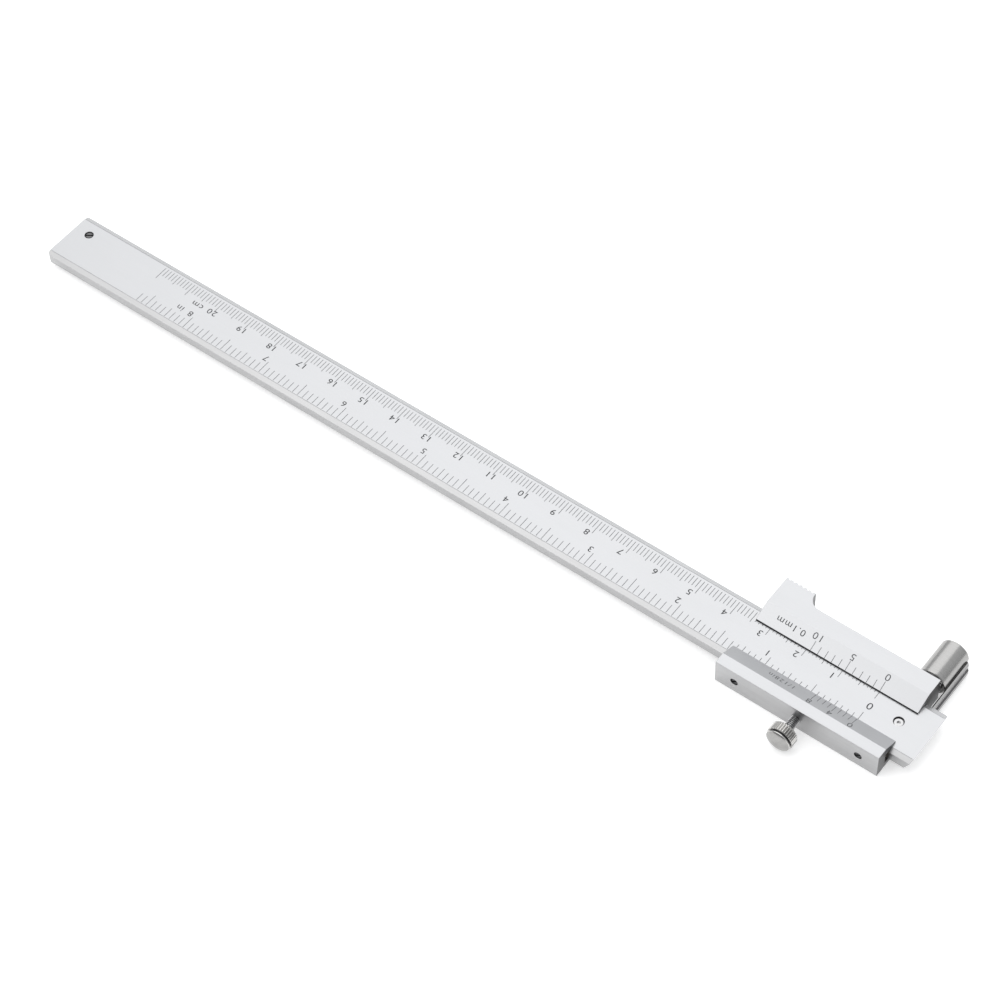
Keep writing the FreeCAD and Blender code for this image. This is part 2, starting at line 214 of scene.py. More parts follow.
# Dark steel: the top of the stop screw. The same tone is painted shade on the slider's zero-side end and on
# the sloping step of the blade that faces the roller.
darkSteelAndPaintedShadeLook = {
    "tone": (0.14, 0.14, 0.143), "rough": 0.36, "roughSpread": 0.10, "spread": 0.14, "patchShare": 0.5,
    "grain": (900, 3800, 3800), "patches": (500, 500, 500), "strength": 0.20,
}
carbideLook = {
    "tone": (0.27, 0.268, 0.27), "rough": 0.24, "roughSpread": 0.08, "spread": 0.08, "patchShare": 0.4,
    "grain": (3500, 220, 3500), "patches": (600, 300, 600), "strength": 0.15,
}
# Bronze set dark: partly the metal's own colour, partly painted shade where these pieces sit between and
# inside other parts.
bronzeWithPaintedShadeLook = {
    "tone": (0.22, 0.165, 0.10), "rough": 0.36, "roughSpread": 0.10, "spread": 0.10, "patchShare": 0.6,
    "grain": (200, 3800, 3800), "patches": (500, 500, 500), "strength": 0.14,
}
satinChrome = metalFinish("satinChrome", satinChromeLook)
groundPaintedShade = metalFinish("groundPaintedShade", groundPaintedShadeLook)
bevelPaintedHighlight = metalFinish("bevelPaintedHighlight", bevelPaintedHighlightLook)
groundRound = metalFinish("groundRound", groundRoundLook)
blackOxideAndGrooveShade = metalFinish("blackOxideAndGrooveShade", blackOxideAndGrooveShadeLook)
knurlValleyShade = metalFinish("knurlValleyShade", knurlValleyShadeLook)
brightSteel = metalFinish("brightSteel", brightSteelLook)
nickel = metalFinish("nickelPlate", nickelLook)
nickelPaintedReflection = metalFinish("nickelPaintedReflection", nickelPaintedReflectionLook)
darkSteelAndPaintedShade = metalFinish("darkSteelAndPaintedShade", darkSteelAndPaintedShadeLook)
carbide = metalFinish("groundCarbide", carbideLook)
bronzeWithPaintedShade = metalFinish("gibBronzeWithPaintedShade", bronzeWithPaintedShadeLook)


inkSetup = {"grain": (2600, 2600, 2600), "detail": 2.0, "wornBand": (0.3, 0.75), "roughSpread": 0.15}


def inkFinish(name, dark, light, rough):  # paint rubbed into the graduations, and the same flat dark finish for painted shadow
    material = bpy.data.materials.new(name)
    sheet = Sheet(material)
    worn = sheet.opened(sheet.noise(inkSetup["grain"], inkSetup["detail"]), *inkSetup["wornBand"])
    sheet.feed(sheet.shader.inputs["Base Color"], sheet.tint(worn, dark, light))
    sheet.feed(sheet.shader.inputs["Roughness"], rough + worn * inkSetup["roughSpread"])
    return material


ink = inkFinish("numeralInk", (0.018, 0.019, 0.022), (0.06, 0.062, 0.066), 0.55)
tickInk = inkFinish("tickInk", (0.07, 0.072, 0.078), (0.15, 0.153, 0.16), 0.55)
paleInk = inkFinish("borderInk", (0.16, 0.163, 0.17), (0.26, 0.265, 0.275), 0.5)
# Painted shadow: near-black for the gap under the slider's roller-side lip edge and for the mouth of the stop
# hole in the beam.
edgeShadow = inkFinish("paintedShadowBlack", (0.012, 0.012, 0.013), (0.03, 0.03, 0.031), 0.6)
print("finishes made")


def slab(low, high):
    bm = bmesh.new()
    bmesh.ops.create_cube(bm, size=1)
    bmesh.ops.scale(bm, vec=Vector(high) - Vector(low), verts=bm.verts)
    bmesh.ops.translate(bm, vec=(Vector(low) + Vector(high)) / 2, verts=bm.verts)
    return bm


def rod(start, end, radius, segments=48, endRadius=None):
    start, end = Vector(start), Vector(end)
    turn = (end - start).to_track_quat("Z", "Y").to_matrix().to_4x4()
    bm = bmesh.new()
    bmesh.ops.create_cone(
        bm, cap_ends=True, segments=segments, radius1=radius,
        radius2=radius if endRadius is None else endRadius,
        depth=(end - start).length, matrix=Matrix.Translation((start + end) / 2) @ turn)
    return bm


def plate(outline, push):  # a flat outline pushed through by a vector
    bm = bmesh.new()
    face = bm.faces.new([bm.verts.new(corner) for corner in outline])
    pushed = bmesh.ops.extrude_face_region(bm, geom=[face])["geom"]
    bmesh.ops.translate(bm, vec=push, verts=[part for part in pushed if isinstance(part, bmesh.types.BMVert)])
    bmesh.ops.recalc_face_normals(bm, faces=bm.faces)
    return bm


def turned(outline, axisX, axisZ, steps=96):  # a (radius, y) outline turned about a line along y
    closed = outline[0][0] > 0 or outline[-1][0] > 0
    bm = bmesh.new()
    corners = [bm.verts.new((axisX + radius, y, axisZ)) for radius, y in outline]
    edges = [bm.edges.new(pair) for pair in zip(corners, corners[1:])]
    if closed:
        edges.append(bm.edges.new((corners[-1], corners[0])))
    bmesh.ops.spin(
        bm, geom=corners + edges, cent=(axisX, 0, axisZ), axis=(0, 1, 0), angle=math.tau, steps=steps,
        use_merge=True)
    bmesh.ops.remove_doubles(bm, verts=bm.verts, dist=weld)
    bmesh.ops.recalc_face_normals(bm, faces=bm.faces)
    return bm


def trim(bm, point, normal):  # cuts off what is beyond a plane and closes the cut
    parts = bm.verts[:] + bm.edges[:] + bm.faces[:]
    bmesh.ops.bisect_plane(bm, geom=parts, dist=1e-5, plane_co=point, plane_no=normal, clear_outer=True)
    openEdges = [edge for edge in bm.edges if edge.is_boundary]
    bmesh.ops.holes_fill(bm, edges=openEdges, sides=0)


def meshFrom(bm, name):
    mesh = bpy.data.meshes.new(name)
    bm.to_mesh(mesh)
    bm.free()
    return mesh


def combine(bm, tools, operation):  # solids cut from bm, or joined to it
    body = bpy.data.objects.new("body", meshFrom(bm, "body"))
    bpy.context.collection.objects.link(body)
    helpers = []
    for tool in tools:
        bmesh.ops.recalc_face_normals(tool, faces=tool.faces)
        helper = bpy.data.objects.new("tool", meshFrom(tool, "tool"))
        bpy.context.collection.objects.link(helper)
        helpers.append(helper)
        step = body.modifiers.new("step", "BOOLEAN")
        step.operation = operation
        step.solver = "EXACT"
        step.object = helper
    shaped = bpy.data.meshes.new_from_object(body.evaluated_get(bpy.context.evaluated_depsgraph_get()))
    result = bmesh.new()
    result.from_mesh(shaped)
    for spare in [body] + helpers:
        bpy.data.objects.remove(spare)
    bmesh.ops.remove_doubles(result, verts=result.verts, dist=weld)
    flat = {"verts": result.verts, "edges": result.edges}
    bmesh.ops.dissolve_limit(result, angle_limit=math.radians(0.2), use_dissolve_boundaries=False, **flat)
    return result


def sunk(bm, tool, middle, turn, axis):  # cuts a slot or socket, turned about the screw's own line
    spun = Matrix.Translation(middle) @ Matrix.Rotation(math.radians(turn), 4, axis)
    bmesh.ops.transform(tool, matrix=spun, verts=tool.verts)
    return combine(bm, [tool], "DIFFERENCE")


def breakEdges(bm, width, wanted=None, sharpest=25, segments=2):
    edges = []
    for edge in bm.edges:
        if edge.is_manifold and edge.calc_face_angle(0) > math.radians(sharpest):
            if wanted is None or wanted(edge):
                edges.append(edge)
    bmesh.ops.bevel(
        bm, geom=edges, offset=width, offset_type="OFFSET", segments=segments, profile=0.5, affect="EDGES",
        clamp_overlap=True, material=-1)


def isUpright(edge):
    across = edge.verts[0].co - edge.verts[1].co
    return abs(across.x) < 1e-4 and abs(across.y) < 1e-4


def finishPiece(bm, name, body, materials, replaced=(), pick=None, smooth=14):
    if pick:
        for face in bm.faces:
            face.material_index = pick(face)
    bmesh.ops.scale(bm, vec=(0.001, 0.001, 0.001), verts=bm.verts)
    bmesh.ops.translate(bm, vec=frameOrigin, verts=bm.verts)
    mesh = meshFrom(bm, name)
    mesh.shade_smooth()
    mesh.set_sharp_from_angle(angle=math.radians(smooth))
    for material in materials:
        mesh.materials.append(material)
    piece = bpy.data.objects.new(name, mesh)
    bpy.context.collection.objects.link(piece)
    even = piece.modifiers.new("evenNormals", "WEIGHTED_NORMAL")
    even.keep_sharp = True
    even.weight = 100
    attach(piece, body)
    if replaced:
        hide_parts(*replaced)
    return piece


# The camera stands high up beyond the zero end, on the clamping screw's side, and looks along the beam.
cameraSetup = {
    "heading": 129.81, "elevation": 52.758, "roll": -3.09, "distance": 0.680, "lens": 101.11,
    "aim": (-0.0126, 0.0050, 0.0050),
}


def makeCamera(setup):
    heading = math.radians(setup["heading"])
    elevation = math.radians(setup["elevation"])
    flat = math.cos(elevation)
    away = Vector((flat * math.cos(heading), flat * math.sin(heading), math.sin(elevation)))
    lens = bpy.data.cameras.new("camera")
    lens.lens = setup["lens"]
    lens.sensor_width = 36
    lens.clip_start = 0.01
    lens.clip_end = 20
    camera = bpy.data.objects.new("camera", lens)
    camera.location = Vector(setup["aim"]) + away * setup["distance"]
    aimed = (-away).to_track_quat("-Z", "Y") @ Quaternion((0, 0, 1), math.radians(setup["roll"]))
    camera.rotation_mode = "QUATERNION"
    camera.rotation_quaternion = aimed
    bpy.context.collection.objects.link(camera)
    bpy.context.scene.camera = camera


makeCamera(cameraSetup)

# Soft boxes: "toward" points from the object to the light, "glow" is the light's own brightness.
lightSetup = {
    "keyBox": {"toward": (0.22, -0.47, 0.80), "distance": 1.3, "size": (1.4, 1.4), "glow": 0.84},
    "topBox": {"toward": (0.35, 0.36, 0.86), "distance": 1.4, "size": (1.2, 1.0), "glow": 1.25},
}
lampTint = (1.0, 0.995, 0.985)
roomSetup = {
    "brightSide": (0.15, -0.73, 0.62), "dim": 0.42, "bright": 0.95, "dimFrom": -0.15,
    "tint": (0.98, 0.99, 1.0, 1.0),
}
floorSetup = {
    "halfSide": 3.0, "tone": 0.90, "toneSpread": 0.01, "rough": 0.9, "glow": 0.45, "drop": 0.00002,
    "clouds": (6, 6, 6), "cloudDetail": 2.0, "cloudBand": (0.3, 0.7),
}


def makeLight(name, setup):
    toward = Vector(setup["toward"]).normalized()
    lamp = bpy.data.lights.new(name, "AREA")
    lamp.shape = "RECTANGLE"
    lamp.size, lamp.size_y = setup["size"]
    lamp.energy = setup["glow"] * math.pi * lamp.size * lamp.size_y
    lamp.color = lampTint
    light = bpy.data.objects.new(name, lamp)
    light.location = toward * setup["distance"]
    light.rotation_mode = "QUATERNION"
    light.rotation_quaternion = (-toward).to_track_quat("-Z", "Y")
    bpy.context.collection.objects.link(light)


def makeRoom():
    world = bpy.data.worlds.new("room")
    walls = Sheet(world, "Background")
    toward = Vector(roomSetup["brightSide"]).normalized()
    way = walls.node("ShaderNodeTexCoord", {}, {}, "Generated")
    facing = walls.node("ShaderNodeVectorMath", {"operation": "DOT_PRODUCT"}, {0: way, 1: toward}, "Value")
    share = walls.opened(facing, roomSetup["dimFrom"], 1.0)
    walls.feed(walls.shader.inputs["Color"], roomSetup["tint"])
    gain = roomSetup["bright"] - roomSetup["dim"]
    walls.feed(walls.shader.inputs["Strength"], roomSetup["dim"] + share * gain)
    bpy.context.scene.world = world
    bpy.context.scene.view_settings.view_transform = "Standard"
    bpy.context.scene.view_settings.look = "None"
    bm = bmesh.new()
    bmesh.ops.create_grid(bm, x_segments=4, y_segments=4, size=floorSetup["halfSide"])
    bmesh.ops.translate(bm, vec=(0, 0, cadLow.z - floorSetup["drop"]), verts=bm.verts)
    floor = bpy.data.objects.new("floor", meshFrom(bm, "floor"))
    bpy.context.collection.objects.link(floor)
    paint = bpy.data.materials.new("paleFloor")
    sheet = Sheet(paint)
    clouds = sheet.noise(floorSetup["clouds"], floorSetup["cloudDetail"])
    cloud = sheet.opened(clouds, *floorSetup["cloudBand"])
    low = floorSetup["tone"] - floorSetup["toneSpread"]
    high = floorSetup["tone"] + floorSetup["toneSpread"]
    sheet.feed(sheet.shader.inputs["Base Color"], sheet.tint(cloud, (low, low, low), (high, high, high)))
    sheet.feed(sheet.shader.inputs["Roughness"], floorSetup["rough"])
    sheet.feed(sheet.shader.inputs["Emission Color"], (1.0, 1.0, 1.0, 1.0))
    sheet.feed(sheet.shader.inputs["Emission Strength"], floorSetup["glow"])
    floor.data.materials.append(paint)


for lightName, lightShape in lightSetup.items():
    makeLight(lightName, lightShape)
makeRoom()
print("camera, lights and floor made")

# Beam: a flat bar with sloping shoulders along both sides of its graduated face.
beamShape = {
    "bevelWidth": 1.3, "bevelDrop": 0.53, "backChamfer": 0.3, "corner": 0.4, "farCorner": 1.0,
    "edgeBreak": 0.05, "stopInset": 4.85, "stopOffset": -3.06, "stopHole": 1.03, "stopMouth": 1.23,
    "stopMouthDepth": 0.2, "stopMouthTop": 0.01, "screwX": -8.13, "undercut": 1.8, "counterbore": 1.35,
    "counterboreDepth": 1.35, "screwBore": 0.83, "screwBoreTop": -1.2, "pocketGap": 0.05,
    "faceFrom": 0.97, "bevelFrom": 0.6, "bevelSide": -0.2, "mouthReach": 1.33,
}
beamA, beamB = spanOf("beam")
holderA, holderB = spanOf("blade_holder")
bladeA, bladeB = spanOf("scriber_blade")


def makeBeam(shape):
    bm = slab(beamA, beamB)
    uprights = [edge for edge in bm.edges if isUpright(edge)]
    large = [edge for edge in uprights if edge.verts[0].co.x > 0 and edge.verts[0].co.y > 0]
    small = [edge for edge in uprights if edge not in large]
    for corners, radius in ((large, shape["farCorner"]), (small, shape["corner"])):
        bmesh.ops.bevel(
            bm, geom=corners, offset=radius, offset_type="OFFSET", segments=8, profile=0.5, affect="EDGES",
            material=-1)
    for side in (1, -1):
        shoulder = side * (beamB.y - shape["bevelWidth"])
        trim(bm, (0, shoulder, 0), (0, side * shape["bevelDrop"], shape["bevelWidth"]))
        trim(bm, (0, side * (beamB.y - shape["backChamfer"]), beamA.z), (0, side, -1))
    trim(bm, (beamA.x, 0, 0), (beamA.z, 0, -shape["undercut"]))
    gap = shape["pocketGap"]
    stopX = beamB.x - shape["stopInset"]
    stopY = shape["stopOffset"]
    screwX = shape["screwX"]
    under = beamA.z - overcut
    mouthLow = (stopX, stopY, -shape["stopMouthDepth"])
    mouthHigh = (stopX, stopY, shape["stopMouthTop"])
    tools = [
        rod((screwX, 0, -shape["counterboreDepth"]), (screwX, 0, overcut), shape["counterbore"]),
        rod((screwX, 0, under), (screwX, 0, shape["screwBoreTop"]), shape["screwBore"]),
        rod((stopX, stopY, under), (stopX, stopY, overcut), shape["stopHole"]),
        rod(mouthLow, mouthHigh, shape["stopHole"], endRadius=shape["stopMouth"]),
        slab((holderA.x, beamA.y - overcut, under), (holderB.x + gap, holderB.y + gap, holderB.z)),
        slab((bladeA.x, beamA.y - overcut, under), (bladeB.x, bladeB.y + gap, bladeB.z)),
    ]
    bm = combine(bm, tools, "DIFFERENCE")
    breakEdges(bm, shape["edgeBreak"])
    mouth = Vector((stopX, stopY, 0))

    def pick(face):  # the face, the sides and screw-side bevel with painted shade, the roller-side bevel with a painted highlight, and painted shade in the mouth of the stop hole
        if face.normal.z > shape["faceFrom"]:
            return 0
        if (face.calc_center_median() - mouth).length < shape["mouthReach"]:
            return 3
        return 2 if face.normal.z > shape["bevelFrom"] and face.normal.y < shape["bevelSide"] else 1

    skins = [satinChrome, groundPaintedShade, bevelPaintedHighlight, edgeShadow]
    return finishPiece(bm, "beam_body", "beam", skins, ["beam"], pick)


makeBeam(beamShape)
print("beam made")

# Slider: a channel that wraps the beam, with a sloping lip on each side for the verniers.
sliderShape = {
    "clearance": 0.05, "lipEdge": 0.4, "rollerLip": -4.15, "rollerSlope": 4.55, "screwLip": 5.15,
    "screwSlope": 4.35, "rollerWallInner": -8.04, "rollerWallOuter": -13.6, "screwWallInner": 9.34,
    "wallChamfer": 0.2, "edgeBreak": 0.07, "restWidth": 8.1, "restFillet": 3.0, "filletSteps": 14,
    "serrations": 6, "serrationPitch": 1.25, "serrationDepth": 0.4, "floorZ": -3.55,
    "gibHole": 1.03, "clampHole": 1.28, "axleHole": 1.5, "axleHoleDepth": 4.06,
    "lipBand": 0.06, "lipUnder": 0.5, "squareFrom": 0.7, "topFrom": 0.6,
}
sliderA, sliderB = spanOf("slider_frame")
rollerA, rollerB = spanOf("roller_sleeve")
knobA, knobB = spanOf("clamp_knob")
middleZ = (sliderA.z + sliderB.z) / 2
rollerX = (rollerA.x + rollerB.x) / 2
clampX = (knobA.x + knobB.x) / 2
gibScrewXs = [
    sum(corner.x for corner in spanOf(node)) / 2 for node in ("gib_screw_zero_side", "gib_screw_far_side")]


def sliderSection(shape):
    lipTop = shape["clearance"] + shape["lipEdge"]
    return [
        (shape["rollerWallOuter"], sliderA.z), (sliderB.y, sliderA.z), (sliderB.y, sliderB.z),
        (shape["screwLip"] + shape["screwSlope"], sliderB.z), (shape["screwLip"], lipTop),
        (shape["screwLip"], shape["clearance"]), (shape["screwWallInner"], shape["clearance"]),
        (shape["screwWallInner"], shape["floorZ"]), (shape["rollerWallInner"], shape["floorZ"]),
        (shape["rollerWallInner"], shape["clearance"]), (shape["rollerLip"], shape["clearance"]),
        (shape["rollerLip"], lipTop), (shape["rollerLip"] - shape["rollerSlope"], sliderB.z),
        (shape["rollerWallOuter"], sliderB.z),
    ]


def thumbRest(shape):  # the serrated rest beside the roller-side wall, with a hollow corner
    start = sliderB.x - shape["restWidth"]
    wall = shape["rollerWallOuter"]
    outer = sliderA.y
    round_ = shape["restFillet"]
    outline = [(start - round_, wall + overcut), (sliderB.x, wall + overcut), (sliderB.x, outer)]
    for index in reversed(range(shape["serrations"])):
        place = (start + sliderB.x) / 2 + (index - (shape["serrations"] - 1) / 2) * shape["serrationPitch"]
        depth = shape["serrationDepth"]
        outline += [(place + depth, outer), (place, outer + depth), (place - depth, outer)]
    outline.append((start, outer))
    for step in range(shape["filletSteps"] + 1):
        angle = math.radians(90 * step / shape["filletSteps"])
        outline.append((start - round_ + round_ * math.cos(angle), wall - round_ + round_ * math.sin(angle)))
    return plate([(x, y, sliderA.z) for x, y in outline], (0, 0, sliderB.z - sliderA.z))


def makeSlider(shape):
    corners = [(sliderA.x, y, z) for y, z in sliderSection(shape)]
    bm = plate(corners, (sliderB.x - sliderA.x, 0, 0))

    def isOuterCorner(edge):
        ends = [vert.co for vert in edge.verts]
        return min(end.y for end in ends) > sliderB.y - slack and abs(ends[0].x - ends[1].x) > 1

    breakEdges(bm, shape["wallChamfer"], isOuterCorner, segments=3)
    bm = combine(bm, [thumbRest(shape)], "UNION")
    inner = shape["screwWallInner"] - overcut / 2
    outer = sliderB.y + overcut
    tools = [rod((x, inner, middleZ), (x, outer, middleZ), shape["gibHole"], 40) for x in gibScrewXs]
    tools.append(rod((clampX, inner, middleZ), (clampX, outer, middleZ), shape["clampHole"], 40))
    wall = shape["rollerWallOuter"]
    bottom = wall + shape["axleHoleDepth"]
    tools.append(rod((rollerX, wall - overcut, middleZ), (rollerX, bottom, middleZ), shape["axleHole"]))
    bm = combine(bm, tools, "DIFFERENCE")
    breakEdges(bm, shape["edgeBreak"], sharpest=28)

    def pick(face):  # the top, the sides with painted shade, painted shadow on the edge of the roller-side lip, and painted shade on the zero-side end
        middle = face.calc_center_median()
        nearLip = abs(middle.y - shape["rollerLip"]) < shape["lipBand"] and middle.z < shape["lipUnder"]
        if nearLip and face.normal.y > shape["squareFrom"]:
            return 2
        if face.normal.x < -shape["squareFrom"]:
            return 3
        return 0 if face.normal.z > shape["topFrom"] else 1

    skins = [satinChrome, groundPaintedShade, edgeShadow, darkSteelAndPaintedShade]
    return finishPiece(bm, "slider_body", "slider", skins, ["slider_frame"], pick)


makeSlider(sliderShape)
print("slider made")

# Graduations: inlays of ink a few micrometres proud of the steel.
markShape = {
    "zero": -0.3, "width": 0.14, "proud": 0.006, "sunk": 0.02, "numeral": 2.45, "spacing": 1.15,
    "stretch": 1.12, "zeroAside": -0.3, "zeroY": 0.45, "zeroSize": 1.12,
    "cmTicks": 220, "cmNumerals": 20, "cmBase": -6.1, "cmShort": -3.5, "cmHalf": -2.9, "cmLong": -2.0,
    "cmNumeralY": -1.6, "inchTicks": 138, "inchNumerals": 8, "inchBase": 6.5, "inchShort": 3.9,
    "inchHalf": 3.4, "inchLong": 2.6, "inchNumeralY": 2.0, "numeralAside": 1.3, "pairAside": 0.3,
    "cmUnitX": 205, "cmUnitY": -1.5, "inchUnitX": 208, "borderY": 6.7, "borderWidth": 0.09,
    "borderInset": 0.4,
}


def addTick(bm, sheet, x, start, end, width, shape):
    size = Matrix.Diagonal((width, abs(end - start), shape["proud"] + shape["sunk"], 1))
    place = Matrix.Translation((x, (start + end) / 2, (shape["proud"] - shape["sunk"]) / 2))
    bmesh.ops.create_cube(bm, size=1, matrix=sheet @ place @ size)


def addText(bm, sheet, words, x, y, size, shape):
    curve = bpy.data.curves.new("lettering", "FONT")
    curve.body = words
    curve.size = size
    curve.align_x = "CENTER"
    curve.resolution_u = 3
    curve.space_character = shape["spacing"]
    curve.extrude = (shape["proud"] + shape["sunk"]) / 2
    holder = bpy.data.objects.new("lettering", curve)
    bpy.context.collection.objects.link(holder)
    bpy.context.view_layer.update()
    mesh = bpy.data.meshes.new_from_object(holder)
    bpy.data.objects.remove(holder)
    letters = bmesh.new()
    letters.from_mesh(mesh)
    bmesh.ops.remove_doubles(letters, verts=letters.verts, dist=weld)
    low = min(vert.co.y for vert in letters.verts)
    high = max(vert.co.y for vert in letters.verts)
    place = Matrix.Translation((x, y, (shape["proud"] - shape["sunk"]) / 2))
    centred = Matrix.Translation((0, -(low + high) / 2, 0))
    wide = Matrix.Diagonal((shape["stretch"], 1, 1, 1))
    bmesh.ops.transform(letters, matrix=sheet @ place @ wide @ centred, verts=letters.verts)
    bmesh.ops.recalc_face_normals(letters, faces=letters.faces)
    bm.from_mesh(meshFrom(letters, "lettering"))


def lineEnd(count, unit, short, half, whole):  # whole units and their halves have longer lines
    if count % unit == 0:
        return whole
    return half if count % (unit // 2) == 0 else short


def makeScales(shape):
    flat = Matrix.Identity(4)
    ticks = bmesh.new()
    for count in range(shape["cmTicks"] + 1):
        end = lineEnd(count, 10, shape["cmShort"], shape["cmHalf"], shape["cmLong"])
        addTick(ticks, flat, shape["zero"] + count, shape["cmBase"], end, shape["width"], shape)
    for count in range(shape["inchTicks"] + 1):
        end = lineEnd(count, 8, shape["inchShort"], shape["inchHalf"], shape["inchLong"])
        x = shape["zero"] + count * inch / 16
        addTick(ticks, flat, x, shape["inchBase"], end, shape["width"], shape)
    finishPiece(ticks, "scale_ticks", "beam", [tickInk])
    bm = bmesh.new()
    size = shape["numeral"]
    zeroX = shape["zero"] + shape["zeroAside"]
    addText(bm, flat, "0", zeroX, shape["zeroY"], size * shape["zeroSize"], shape)
    for count in range(1, shape["cmNumerals"] + 1):
        aside = shape["numeralAside"] if count < 10 else shape["pairAside"]
        addText(bm, flat, str(count), shape["zero"] + count * 10 + aside, shape["cmNumeralY"], size, shape)
    addText(bm, flat, "cm", shape["zero"] + shape["cmUnitX"], shape["cmUnitY"], size, shape)
    for count in range(1, shape["inchNumerals"] + 1):
        x = shape["zero"] + count * inch + shape["numeralAside"]
        addText(bm, flat, str(count), x, shape["inchNumeralY"], size, shape)
    addText(bm, flat, "in", shape["zero"] + shape["inchUnitX"], shape["inchNumeralY"], size, shape)
    finishPiece(bm, "scale_numerals", "beam", [ink])
    lines = bmesh.new()
    inset = shape["borderInset"]
    for side in (1, -1):
        y = side * shape["borderY"]
        low = (beamA.x + inset, y - shape["borderWidth"] / 2, -shape["sunk"])
        high = (beamB.x - inset, y + shape["borderWidth"] / 2, shape["proud"])
        lines.from_mesh(meshFrom(slab(low, high), "border"))
    finishPiece(lines, "scale_borders", "beam", [paleInk])


def slopeSheet(y, z, rise, run):  # a flat sheet tipped onto a sloping lip, its x along the beam
    angle = math.atan2(rise, run)
    return Matrix.Translation((0, y, z)) @ Matrix.Rotation(angle, 4, "X")


vernierShape = {
    "metricLength": 19.0, "metricDivisions": 10, "metricShort": 1.95, "metricLong": 2.55, "metricText": 3.6,
    "inchLength": 11.11, "inchDivisions": 8, "inchShort": 2.3, "inchLong": 2.8, "inchText": 3.75,
    "start": 0.05, "size": 2.45, "metricUnit": (26.0, -2.6, 0.95), "inchUnit": (19.3, 2.3, 0.78),
}


def makeVerniers(shape, marks, slider):
    lipTop = slider["clearance"] + slider["lipEdge"]
    rise = sliderB.z - lipTop
    bm = bmesh.new()
    words = bmesh.new()
    near = slopeSheet(slider["rollerLip"], lipTop, -rise, slider["rollerSlope"])
    for count in range(shape["metricDivisions"] + 1):
        x = marks["zero"] + count * shape["metricLength"] / shape["metricDivisions"]
        end = shape["metricLong"] if count % 5 == 0 else shape["metricShort"]
        addTick(bm, near, x, -shape["start"], -end, marks["width"], marks)
        if count % 5 == 0:
            addText(bm, near, str(count), x, -shape["metricText"], shape["size"], marks)
    x, y, share = shape["metricUnit"]
    addText(words, near, "0.1mm", marks["zero"] + x, y, shape["size"] * share, marks)
    far = slopeSheet(slider["screwLip"], lipTop, rise, slider["screwSlope"])
    for count in range(shape["inchDivisions"] + 1):
        x = marks["zero"] + count * shape["inchLength"] / shape["inchDivisions"]
        end = shape["inchLong"] if count % 4 == 0 else shape["inchShort"]
        addTick(bm, far, x, shape["start"], end, marks["width"], marks)
        if count % 4 == 0:
            addText(bm, far, str(count), x, shape["inchText"], shape["size"], marks)
    x, y, share = shape["inchUnit"]
    addText(bm, far, "1/128in", marks["zero"] + x, y, shape["size"] * share, marks)
    finishPiece(bm, "vernier_marks", "slider", [tickInk])
    finishPiece(words, "vernier_units", "slider", [ink])


makeScales(markShape)
makeVerniers(vernierShape, markShape, sliderShape)
print("graduations made")

# Knurled clamping screw: straight ridges, a groove, and a shallow dome.
knobShape = {
    "radius": 3.4, "chamfer": 0.35, "knurl": 2.6, "groove": 0.4, "grooveDepth": 0.5, "capRadius": 3.15,
    "capLength": 0.4, "capEdge": 0.1, "ridges": 34, "ridgeDepth": 0.3, "neck": 1.6, "bore": 1.25,
    "boreDepth": 2.6, "knurlEdge": 0.12, "domeSteps": 9, "valleyShare": 0.75, "grooveMargin": 0.05,
}
threadShape = {
    "crest": 1.25, "root": 0.98, "pitch": 0.45, "steps": 32, "rise": (0.06, 0.19), "fall": (0.26, 0.39),
    "rootMargin": 0.02,
}


def makeKnob(shape):
    back = knobA.y
    groove = back + shape["knurl"]
    cap = groove + shape["groove"]
    rim = cap + shape["capLength"]
    radius = shape["radius"]
    capRadius = shape["capRadius"]
    edge = shape["capEdge"]
    knurlEdge = shape["knurlEdge"]
    rise = knobB.y - rim
    outline = [(shape["bore"], back + shape["boreDepth"]), (shape["bore"], back), (shape["neck"], back),
               (radius - shape["chamfer"], back), (radius, back + shape["chamfer"]),
               (radius, groove - knurlEdge), (radius - knurlEdge, groove),
               (radius - shape["grooveDepth"], groove),
               (radius - shape["grooveDepth"], cap), (capRadius - edge, cap), (capRadius, cap + edge),
               (capRadius, rim - edge), (capRadius - edge, rim)]
    ball = (capRadius ** 2 + rise ** 2) / (2 * rise)
    for step in range(1, shape["domeSteps"] + 1):
        across = (capRadius - edge) * (1 - step / shape["domeSteps"])
        outline.append((across, knobB.y - ball + math.sqrt(ball ** 2 - across ** 2)))
    outline.append((0, back + shape["boreDepth"]))
    steps = shape["ridges"] * 4
    bm = turned(outline, clampX, middleZ, steps)
    for vert in bm.verts:
        arm = Vector((vert.co.x - clampX, 0, vert.co.z - middleZ))
        if arm.length > radius - slack and vert.co.y < groove:
            turn = round(math.atan2(arm.z, arm.x) / math.tau * steps) % 4
            if turn >= 2:
                vert.co -= arm.normalized() * shape["ridgeDepth"]

    def pick(face):  # painted shade in the groove, a painted dark reflection on the dome and painted shade in the bottoms of the ridges
        middle = face.calc_center_median()
        arm = math.hypot(middle.x - clampX, middle.z - middleZ)
        valley = radius - shape["ridgeDepth"] * shape["valleyShare"]
        inKnurl = back + shape["chamfer"] < middle.y < groove - knurlEdge and arm < valley
        bottom = radius - shape["grooveDepth"] + shape["grooveMargin"]
        inGroove = groove < middle.y < cap and arm < bottom
        if inGroove:
            return 1
        if inKnurl:
            return 3
        return 2 if middle.y > rim else 0

    skins = [nickel, blackOxideAndGrooveShade, nickelPaintedReflection, knurlValleyShade]
    finishPiece(bm, "knurled_knob", "clamp_screw", skins, ["clamp_knob"], pick)


